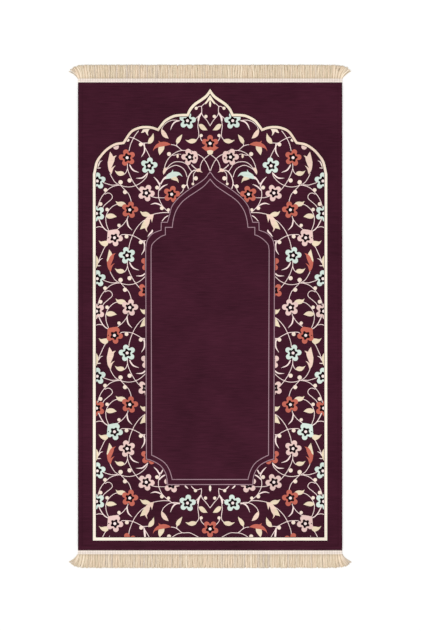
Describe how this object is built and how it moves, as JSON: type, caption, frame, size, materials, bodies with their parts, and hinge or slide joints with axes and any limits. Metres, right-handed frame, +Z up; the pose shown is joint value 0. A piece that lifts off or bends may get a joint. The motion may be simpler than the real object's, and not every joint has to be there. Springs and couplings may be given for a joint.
{
  "type": "prayer rug",
  "caption": "Flat woven prayer rug with an arched niche and a floral vine border, turned hems and a fringed tape sewn under each end.",
  "frame": {"origin": "middle of the rug on the floor it lies on", "axes": "+X across the rug, +Y along it from the foot end to the arch's point, +Z up out of the face"},
  "size_m": [0.6944, 1.239, 0.0039],
  "materials": {
    "plum_cloth": "matt woven",
    "ecru_yarn": "soft twisted yarn"
  },
  "bodies": {
    "root": {"rug_cloth": "plum_cloth", "fringe_head": "ecru_yarn", "fringe_foot": "ecru_yarn"}
  },
  "joints": []
}
